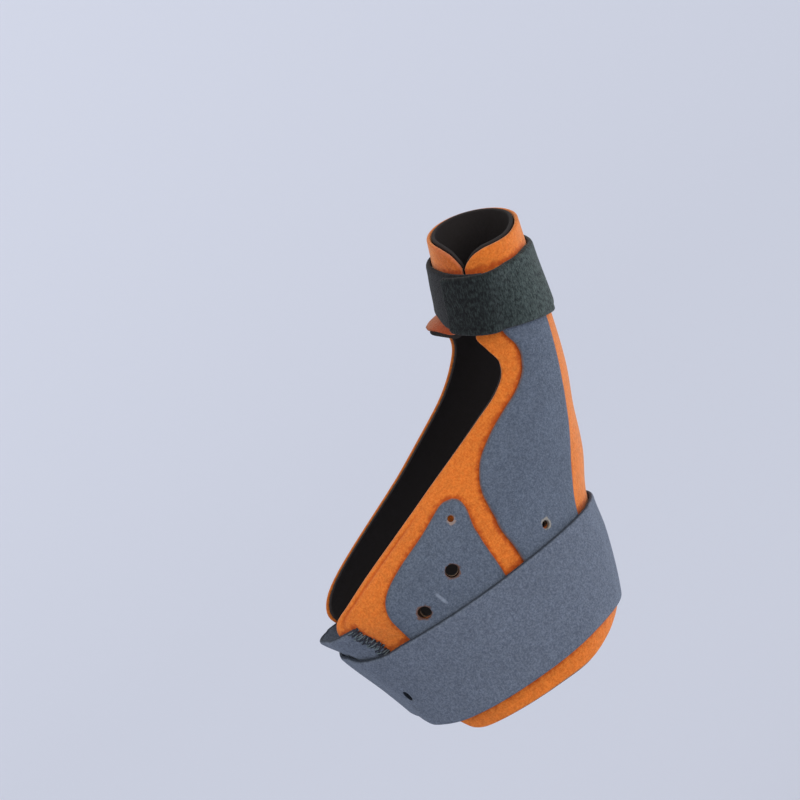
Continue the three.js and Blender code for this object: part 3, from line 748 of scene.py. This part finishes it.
def orange_marks(shader, colour, tuft):
    """Painted shade: redder beside the panels and straps and in the crease of the hem, shaded under the
    strap, dark in the holes; a lighter line on the web flap's rim, partly painted highlight.
    """
    # Painted shade: the orange turns redder near the borders of the panels and straps, where shade gathers
    # between the parts
    beside = shader.math("ADD", shader.attribute("seam"), shader.remap(tuft, *WANDER_RANGE, -0.5, 0.5))
    beside = shader.remap(beside, 0.0, CONTACT_SHADE_REACH, CONTACT_SHADE_STRENGTH, 0.0)
    colour = shader.mix(beside, colour, linear(*CONTACT_SHADE_RED))
    # Painted shade in the crease of the hem
    crease = shader.math("MULTIPLY", shader.attribute("crease"), CREASE_SHADE_STRENGTH)
    colour = shader.mix(crease, colour, linear(*CREASE_SHADE_RED))
    shaded = shader.mix(1.0, colour, SHADE_TINT, "MULTIPLY")
    colour = shader.mix(shader.attribute("under"), colour, shaded)
    # A lighter line along the web flap's folded rim where it is shaded: partly a painted highlight where the
    # rounded edge catches the light
    fold_highlight = shader.remap(shader.attribute("border"), *FOLD_HIGHLIGHT_REACH, FOLD_HIGHLIGHT_STRENGTH, 0.0)
    fold_highlight = shader.math("MULTIPLY", fold_highlight, shader.attribute("under"))
    colour = shader.mix(fold_highlight, colour, linear(*WEB_FOLD_HIGHLIGHT))
    # Painted shade: the cover darkens on its walls inside the eyelets, the stay hole and the pin hole
    for eyelet in EYELETS:
        near = shader.remap(shader.from_axis(eyelet), *EYELET_DARK_REACH, 1.0, 0.0)
        colour = shader.mix(near, colour, linear(*EYELET_SHADE))
    near = shader.remap(shader.from_axis(STAY_HOLE), *STAY_HOLE_DARK_REACH, 1.0, 0.0)
    colour = shader.mix(near, colour, linear(*STAY_HOLE_SHADE))
    near = shader.remap(shader.from_axis(PIN_HOLE), *PIN_HOLE_DARK_REACH, 0.6, 0.0)
    return shader.mix(near, colour, linear(*PIN_HOLE_SHADE))


def worn_ring(shader, colour, tuft, place, radius, rim, strength):
    """A worn ring of another colour round a hole."""
    away = shader.math("ADD", shader.from_axis(place), shader.remap(tuft, *TUFT_RANGE, -0.3, 0.3))
    near = shader.remap(away, radius, radius + RING_WIDTH, strength, 0.0)
    return shader.mix(near, colour, linear(*rim))


def warm_border(shader, colour):
    """A thin line of a warmer colour at a panel's border."""
    near = shader.remap(shader.attribute("border"), 0.0, BORDER_REACH, BORDER_STRENGTH, 0.0)
    return shader.mix(near, colour, linear(*PANEL_BORDER))


def palm_panel_marks(shader, colour, tuft):
    """The border, the worn rings round the eyelets and the pin hole, and the scratch."""
    colour = warm_border(shader, colour)
    for eyelet in EYELETS:
        colour = worn_ring(shader, colour, tuft, eyelet, EYELET_RADIUS, EYELET_RIM, 0.9)
    colour = worn_ring(shader, colour, tuft, PIN_HOLE, PIN_HOLE_RADIUS, PIN_HOLE_RIM, 0.75)
    return scratch(shader, colour)


def thumb_panel_marks(shader, colour, tuft):
    """The border and the worn ring round the small hole."""
    colour = warm_border(shader, colour)
    return worn_ring(shader, colour, tuft, STAY_HOLE, STAY_HOLE_RADIUS, STAY_HOLE_RIM, 0.8)


def scratch(shader, colour):
    """A faint pale scratch between two points of the palm panel."""
    first, last = (on_form(station, bearing, ON_COVER + PANEL) for station, bearing in SCRATCH_ENDS)
    middle, half = (first + last) / 2, (last - first) / 2
    reach = np.linalg.norm(half)
    ahead = tuple(half / reach)
    here = shader.node("ShaderNodeTexCoord").outputs["Object"]
    offset = shader.vector("SCALE", shader.vector("SUBTRACT", here, tuple(middle * MM)))
    offset.node.inputs["Scale"].default_value = 1 / MM
    along = shader.vector("DOT_PRODUCT", offset, ahead, "Value")
    away = shader.vector("LENGTH", shader.vector("CROSS_PRODUCT", offset, ahead), output="Value")
    ends = shader.remap(shader.math("ABSOLUTE", along), reach / 2, reach, SCRATCH_STRENGTH, 0.0)
    strength = shader.math("MULTIPLY", ends, shader.remap(away, *SCRATCH_REACH, 1.0, 0.0))
    return shader.mix(strength, colour, linear(*SCRATCH))


def painted_strap_shadow(shader, colour, _):
    """A dark line along the upper edge: a painted shadow of the strap's edge on what is under it."""
    near = shader.remap(shader.attribute("top"), *STRAP_SHADOW_REACH, STRAP_SHADOW_STRENGTH, 0.0)
    return shader.mix(near, colour, linear(*STRAP_TOP_SHADOW))


def loop_pile(name, shades, worn, end):
    """Longer brushed loops combed across the strap. worn is the colour of its smoother start, and end that
    of the painted shade on its pile towards the free end."""
    dark, middle, light = (linear(*shade) for shade in shades)
    shader = Shader(name)
    run = shader.node("ShaderNodeUVMap", uv_map="length").outputs["UV"]
    combed = shader.node("ShaderNodeMapping", {"Vector": run, "Scale": (3.0, 0.8, 1.0)}).outputs["Vector"]
    streak = shader.noise(1.0, combed, 3.0, 0.7)
    tuft = shader.noise(1.1, millimetres(shader), 3.0, 0.7)
    pile = shader.math("ADD", shader.math("MULTIPLY", streak, 0.65), shader.math("MULTIPLY", tuft, 0.35))
    colour = shader.mix(shader.remap(pile, *PILE_RANGE), dark, light)
    colour = shader.mix(0.35, colour, middle)
    along = shader.node("ShaderNodeSeparateXYZ", {"Vector": run}).outputs["X"]
    colour = shader.mix(shader.remap(along, *WORN_END, 0.85, 0.0), colour, linear(*worn))
    # Painted shade: the pile darkens towards the strap's free end
    darker = shader.remap(along, *END_SHADE_SPAN)
    darker = shader.math("MULTIPLY", darker, shader.remap(pile, *PILE_RANGE, 1.0, 0.7))
    colour = shader.mix(darker, colour, linear(*end))
    # Darker towards the borders: partly pressed loops, partly painted shade where the strap meets what lies
    # under it
    wander = shader.math("ADD", shader.attribute("border"), shader.remap(tuft, *WANDER_RANGE, -0.3, 0.3))
    tone = shader.remap(wander, 0.0, 0.8, 0.5, 1.0)
    shader.put(shader.bsdf.inputs["Base Color"], shader.toned(colour, tone))
    shader.bump(pile, 0.8, 0.0006)
    shader.bsdf.inputs["Roughness"].default_value = 0.95
    shader.bsdf.inputs["Specular IOR Level"].default_value = 0.1
    shader.bsdf.inputs["Sheen Weight"].default_value = 0.12
    shader.bsdf.inputs["Sheen Roughness"].default_value = 0.6
    return shader.material


def plain(name, colour, roughness, grain=0.5, bump=0.3):
    """One colour with a fine grain."""
    shader = Shader(name)
    fine = shader.noise(grain, millimetres(shader), 2.0)
    red, green, blue, _ = linear(*colour)
    dark = (red * 0.75, green * 0.75, blue * 0.75, 1.0)
    light = (red * 1.3, green * 1.3, blue * 1.3, 1.0)
    shader.put(shader.bsdf.inputs["Base Color"], shader.mix(fine, dark, light))
    shader.bump(fine, bump, 0.0002)
    shader.bsdf.inputs["Roughness"].default_value = roughness
    return shader.material


orange = velour("orange_velour", ORANGE, 0.5, (0.8, 0.6), 0.7, ORANGE_FUZZ, orange_marks)
palm_grey = velour("palm_panel_velour", PANEL_GREY, 0.45, (0.8, 1.1), marks=palm_panel_marks)
thumb_grey = velour("thumb_panel_velour", PANEL_GREY, 0.45, (0.8, 1.1), marks=thumb_panel_marks)
strap_grey = velour("strap_velour", STRAP_GREY, 0.48, (0.7, 0.5), marks=painted_strap_shadow)
dark_loop = loop_pile("dark_loop", LOOP_GREEN, LOOP_WORN, LOOP_END_SHADE)
lining_black = plain("black_lining", LINING_BLACK, 0.85)
hook_black = plain("hook_tape", HOOK_BLACK, 0.6, grain=0.8, bump=0.8)
thread_dark = plain("thread_dark", THREAD_DARK, 0.6, grain=0.2, bump=0.2)
thread_pale = plain("thread_pale", THREAD_PALE, 0.6, grain=0.2, bump=0.2)


def finish_piece(thing, material, slot, *nodes):
    """Gives a piece its material, its place in the frame and the nodes that it stands for."""
    thing.data.materials.clear()
    thing.data.materials.append(material)
    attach(thing, "root")
    if nodes:
        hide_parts(*nodes)


# The body


def body_lift(height):
    """A height above the form that also follows the flare over the web."""
    return lambda station, bearing, w: height + web_flare(station, bearing)


def hem_line(station, from_edge, inwards, width):
    """A soft line beside the palm edge, 1 on it and 0 away from it."""
    return np.exp(-(((from_edge - inwards) / width) ** 2)) * bump_between(HEM_STATIONS, station)


def cover_relief(station, borders):
    """A soft hem along the palm edge with a crease beside it."""
    crease = hem_line(station, borders[1], CREASE_IN, CREASE_WIDTH)
    return HEM_HEIGHT * hem_line(station, borders[1], HEM_IN, HEM_WIDTH) - CREASE_DEPTH * crease


def outline_points(layout, count=260):
    """Points along the border of a panel, on the body."""
    share = np.linspace(0, 1, count)
    zero, one = np.zeros(count), np.ones(count)
    sides = [layout(u, w) for u, w in ((zero, share), (one, share), (share, zero), (share, one))]
    return np.concatenate([on_form(station, bearing, ON_COVER) for station, bearing in sides])


def body_marks(station, bearing, borders):
    """Distance from the borders of the panels and straps for the painted shade beside them, the crease of the
    hem, and the places of painted shade.
    """
    here = on_form(station, bearing, ON_COVER)
    seam = np.full(here.shape[:-1], FAR)
    layouts = [panel_layout(THUMB_PANEL_ROWS), panel_layout(PALM_PANEL_ROWS)]
    layouts += [band_layout(WRIST_STRAP_ROWS), band_layout(THUMB_STRAP_ROWS)]
    for layout in layouts:
        outline = outline_points(layout)
        for row in range(len(here)):
            away = np.linalg.norm(here[row][:, None] - outline[None], axis=-1).min(axis=-1)
            seam[row] = np.minimum(seam[row], away)
    under = bump_between(UNDER_STATIONS, station) * (1 - smooth(*UNDER_BEARINGS, bearing))
    collar = smooth(*COLLAR_STATIONS, station) * (1 - smooth(*COLLAR_BEARINGS, bearing))
    return {
        "seam": seam,
        "crease": hem_line(station, borders[1], CREASE_IN, CREASE_WIDTH),
        "under": np.maximum(under, COLLAR_SHADE * collar),
    }


def cover_layout(u, w):
    """The body's layout, with a strip of the lining left bare along the edge over the web."""
    station, bearing = body_layout(u, w)
    at_web = bump_between(BARE_STATIONS, station) * bump_between(BARE_BEARINGS, bearing)
    return station + WEB_BARE * at_web * (1 - u) ** 8, bearing


lining = fabric(
    "lining_fabric", body_layout, BODY_SIZE, body_lift(0), LINING, LINING_ROUND, step=LINING_STEP,
)
cover = fabric(
    "cover_fabric", cover_layout, BODY_SIZE, body_lift(COVER_AT), COVER, COVER_ROUND, cover_relief, BODY_STEP,
    COVER_INSET, body_marks,
)
for eyelet in EYELETS:
    cut_hole(lining, eyelet, EYELET_RADIUS - EYELET_LIP, -CUT_CLEAR, ON_PANEL)
    cut_hole(cover, eyelet, EYELET_RADIUS - EYELET_LIP, -CUT_CLEAR, ON_PANEL)
cut_hole(cover, STAY_HOLE, STAY_HOLE_RADIUS - STAY_HOLE_LIP, LINING + LAYER_GAP / 2, ON_PANEL)
finish_piece(lining, lining_black, "black_lining", "lining")
finish_piece(cover, orange, "orange_velour", "cover")


# The panels


def panel_relief(station, borders):
    """The border is pressed down into the body."""
    return -BORDER_DEPTH * (1 - smooth(0.0, BORDER_WIDTH, np.minimum.reduce(borders)))


thumb_panel = fabric(
    "thumb_panel_fabric", panel_layout(THUMB_PANEL_ROWS), THUMB_PANEL_SIZE, level(ON_COVER), PANEL,
    PANEL_ROUND, panel_relief, FINE_STEP, rest=PANEL_REST,
)
palm_panel = fabric(
    "palm_panel_fabric", panel_layout(PALM_PANEL_ROWS), PALM_PANEL_SIZE, level(ON_COVER), PANEL,
    PANEL_ROUND, panel_relief, FINE_STEP, rest=PANEL_REST,
)
for eyelet in EYELETS:
    cut_hole(palm_panel, eyelet, EYELET_RADIUS, COVER_AT, ON_PANEL + CUT_CLEAR)
cut_hole(palm_panel, PIN_HOLE, PIN_HOLE_RADIUS, COVER_AT, ON_PANEL + CUT_CLEAR)
cut_hole(thumb_panel, STAY_HOLE, STAY_HOLE_RADIUS, COVER_AT, ON_PANEL + CUT_CLEAR)
finish_piece(thumb_panel, thumb_grey, "grey_velour", "thumb_panel")
finish_piece(palm_panel, palm_grey, "grey_velour", "palm_panel")


# The straps


def band(name, rows, size, thickness, edge, step=STEP, top_rows=None):
    """A strap or tape from its table. Its upper edge may lie at another height, from top_rows."""
    height = curve(rows, 3)
    top_height = curve(top_rows, 1) if top_rows else height

    def lift(station, bearing, w):
        return height(bearing) + smooth(*TAPER, w) * (top_height(bearing) - height(bearing))

    return fabric(name, band_layout(rows), size, lift, thickness, edge, step=step, rest=STRAP_REST)


wrist_strap = band("wrist_strap_fabric", WRIST_STRAP_ROWS, WRIST_STRAP_SIZE, STRAP, WRIST_STRAP_ROUND)
cut_hole(
    wrist_strap, STRAP_SLOT, STRAP_SLOT_WIDTH / 2, ON_STRAP - LAYER_GAP / 2, ON_STRAP + STRAP + CUT_CLEAR,
    STRAP_SLOT_LENGTH / STRAP_SLOT_WIDTH,
)
thumb_strap = band(
    "thumb_strap_fabric", THUMB_STRAP_ROWS, THUMB_STRAP_SIZE, STRAP, THUMB_STRAP_ROUND, FINE_STEP,
    THUMB_STRAP_TOP,
)
wrist_hook = band("wrist_hook_tape", WRIST_HOOK_ROWS, WRIST_HOOK_SIZE, HOOK, HOOK_ROUND)
thumb_hook = band("thumb_hook_tape", THUMB_HOOK_ROWS, THUMB_HOOK_SIZE, HOOK, HOOK_ROUND)
finish_piece(wrist_strap, strap_grey, "strap_velour", "wrist_strap")
finish_piece(thumb_strap, dark_loop, "dark_loop", "thumb_strap")
finish_piece(wrist_hook, hook_black, "hook_tape", "wrist_hook_patch")
finish_piece(thumb_hook, hook_black, "hook_tape", "thumb_hook_patch")


# The seam that holds the strap's root to the body


def tube(points, radius, sides=5):
    """Points and faces of a closed round thread along a path."""
    ahead = np.gradient(points, axis=0)
    ahead /= np.linalg.norm(ahead, axis=1, keepdims=True)
    across = np.cross(ahead, THREAD_UPRIGHT)
    across /= np.linalg.norm(across, axis=1, keepdims=True)
    beside = np.cross(ahead, across)
    turn = np.linspace(0, 2 * math.pi, sides, endpoint=False)
    ring = np.cos(turn)[None, :, None] * across[:, None] + np.sin(turn)[None, :, None] * beside[:, None]
    made = (points[:, None] + radius * ring).reshape(-1, 3)
    faces = []
    for i in range(len(points) - 1):
        for j in range(sides):
            k = (j + 1) % sides
            faces.append((i * sides + j, i * sides + k, (i + 1) * sides + k, (i + 1) * sides + j))
    faces.append(tuple(range(sides))[::-1])
    faces.append(tuple((len(points) - 1) * sides + j for j in range(sides)))
    return made, faces


def seam_thread(name, count, radius, seed):
    """Short uneven stitches across the border of the strap's root, from the strap down to the body."""
    random = np.random.default_rng(seed)
    share = np.linspace(0, 1, STITCH_POINTS)
    root, foot, top, _ = WRIST_STRAP_ROWS[0]
    shortest, further = STITCH_ON
    made, faces, offset = [], [], 0
    for middle in np.linspace(top - 0.03, foot + 0.06, count):
        slant = random.normal(0, STITCH_SLANT)
        out = STITCH_OUT * random.random()
        onto = shortest + further * random.random()
        bearing = root - out + share * (out + onto)
        rise = (LAYER_GAP + STRAP) * smooth(root - 0.4, root + 0.5, bearing)
        height = COVER_AT + COVER + radius * 0.7 + rise + STITCH_BOW * np.sin(np.pi * share)
        station = middle + random.normal(0, STITCH_SCATTER) + slant * (share - 0.5) * 2
        points, leg_faces = tube(on_form(np.minimum(station, top - 0.01), bearing, height), radius)
        made.append(points)
        faces += [tuple(corner + offset for corner in face) for face in leg_faces]
        offset += len(points)
    return mesh_object(name, np.concatenate(made), faces)


finish_piece(seam_thread("seam_thread_dark", count=58, radius=0.2, seed=7), thread_dark, "strap_velour")
finish_piece(seam_thread("seam_thread_pale", count=40, radius=0.17, seed=11), thread_pale, "strap_velour")


# Camera, floor and light


def camera_axes():
    """The camera's right, up and back, rolled as the photograph is."""
    back = Vector((0, -math.cos(CAMERA_ELEVATION), math.sin(CAMERA_ELEVATION)))
    right = Vector((1, 0, 0))
    up = back.cross(right)
    rolled_right = right * math.cos(CAMERA_ROLL) - up * math.sin(CAMERA_ROLL)
    rolled_up = right * math.sin(CAMERA_ROLL) + up * math.cos(CAMERA_ROLL)
    return rolled_right, rolled_up, back


right, up, back = camera_axes()
aim = right * CAMERA_OFFSET[0] + up * CAMERA_OFFSET[1]
lens = bpy.data.cameras.new("camera")
lens.sensor_width = SENSOR
lens.lens = SENSOR * CAMERA_DISTANCE / CAMERA_WIDTH
lens.clip_start = 0.05
camera = bpy.data.objects.new("camera", lens)
turn = Matrix((right, up, back)).transposed().to_4x4()
camera.matrix_world = Matrix.Translation(aim + back * CAMERA_DISTANCE) @ turn
bpy.context.scene.collection.objects.link(camera)
bpy.context.scene.camera = camera


def light(name, direction, power, angle):
    """A sun that shines along a direction on the object. A larger angle makes its shadows softer."""
    data = bpy.data.lights.new(name, "SUN")
    data.energy = power
    data.angle = angle
    made = bpy.data.objects.new(name, data)
    made.location = OBJECT_MIDDLE - direction.normalized() * LIGHT_DISTANCE
    made.rotation_mode = "QUATERNION"
    made.rotation_quaternion = direction.to_track_quat("-Z", "Y")
    bpy.context.scene.collection.objects.link(made)


light("key", -(back * 0.68 + up * 0.5 + right * 0.7), 0.85, angle=0.6)
light("fill", -(back * 0.9 + up * 0.2 - right * 0.6), 0.25, angle=1.0)
light("rim", -(right * 0.9 - back * 0.42 + up * 0.15), 0.9, angle=0.4)


def backdrop():
    """A flat floor that curves up all round. It casts no shadow, so the suns behind its rim still shine."""
    profile = [(0.0, 0.0), (FLOOR_RADIUS, 0.0)]
    for i in range(1, BOWL_STEPS + 1):
        slope = BOWL_SLOPE * i / BOWL_STEPS
        profile.append((FLOOR_RADIUS + BOWL_RADIUS * math.sin(slope), BOWL_RADIUS * (1 - math.cos(slope))))
    points = [(0.0, 0.0, FLOOR_Z)]
    faces = []
    for r, z in profile[1:]:
        for k in range(BOWL_SIDES):
            turn_by = 2 * math.pi * k / BOWL_SIDES
            points.append((r * math.cos(turn_by), r * math.sin(turn_by), FLOOR_Z + z))
    for k in range(BOWL_SIDES):
        after = (k + 1) % BOWL_SIDES
        faces.append((0, 1 + k, 1 + after))
        for step in range(len(profile) - 2):
            low, high = 1 + step * BOWL_SIDES, 1 + (step + 1) * BOWL_SIDES
            faces.append((low + k, high + k, high + after, low + after))
    mesh = bpy.data.meshes.new("floor")
    mesh.from_pydata(points, [], faces)
    mesh.polygons.foreach_set("use_smooth", [True] * len(mesh.polygons))
    return bpy.data.objects.new("floor", mesh)


floor = backdrop()
bpy.context.scene.collection.objects.link(floor)
floor_look = Shader("floor")
floor_look.bsdf.inputs["Base Color"].default_value = linear(*FLOOR_COLOUR)
floor_look.bsdf.inputs["Roughness"].default_value = 0.9
floor_look.bsdf.inputs["Specular IOR Level"].default_value = 0.1
floor.data.materials.append(floor_look.material)
floor.visible_shadow = False

world = bpy.data.worlds.new("studio")
world.use_nodes = True
world.node_tree.nodes["Background"].inputs["Color"].default_value = linear(*WORLD_COLOUR)
world.node_tree.nodes["Background"].inputs["Strength"].default_value = WORLD_STRENGTH
bpy.context.scene.world = world
bpy.context.scene.view_settings.view_transform = "Standard"

for thing in (lining, cover, thumb_panel, palm_panel, wrist_strap, thumb_strap, wrist_hook, thumb_hook):
    print(thing.name, "triangles", sum(len(face.vertices) - 2 for face in thing.data.polygons))
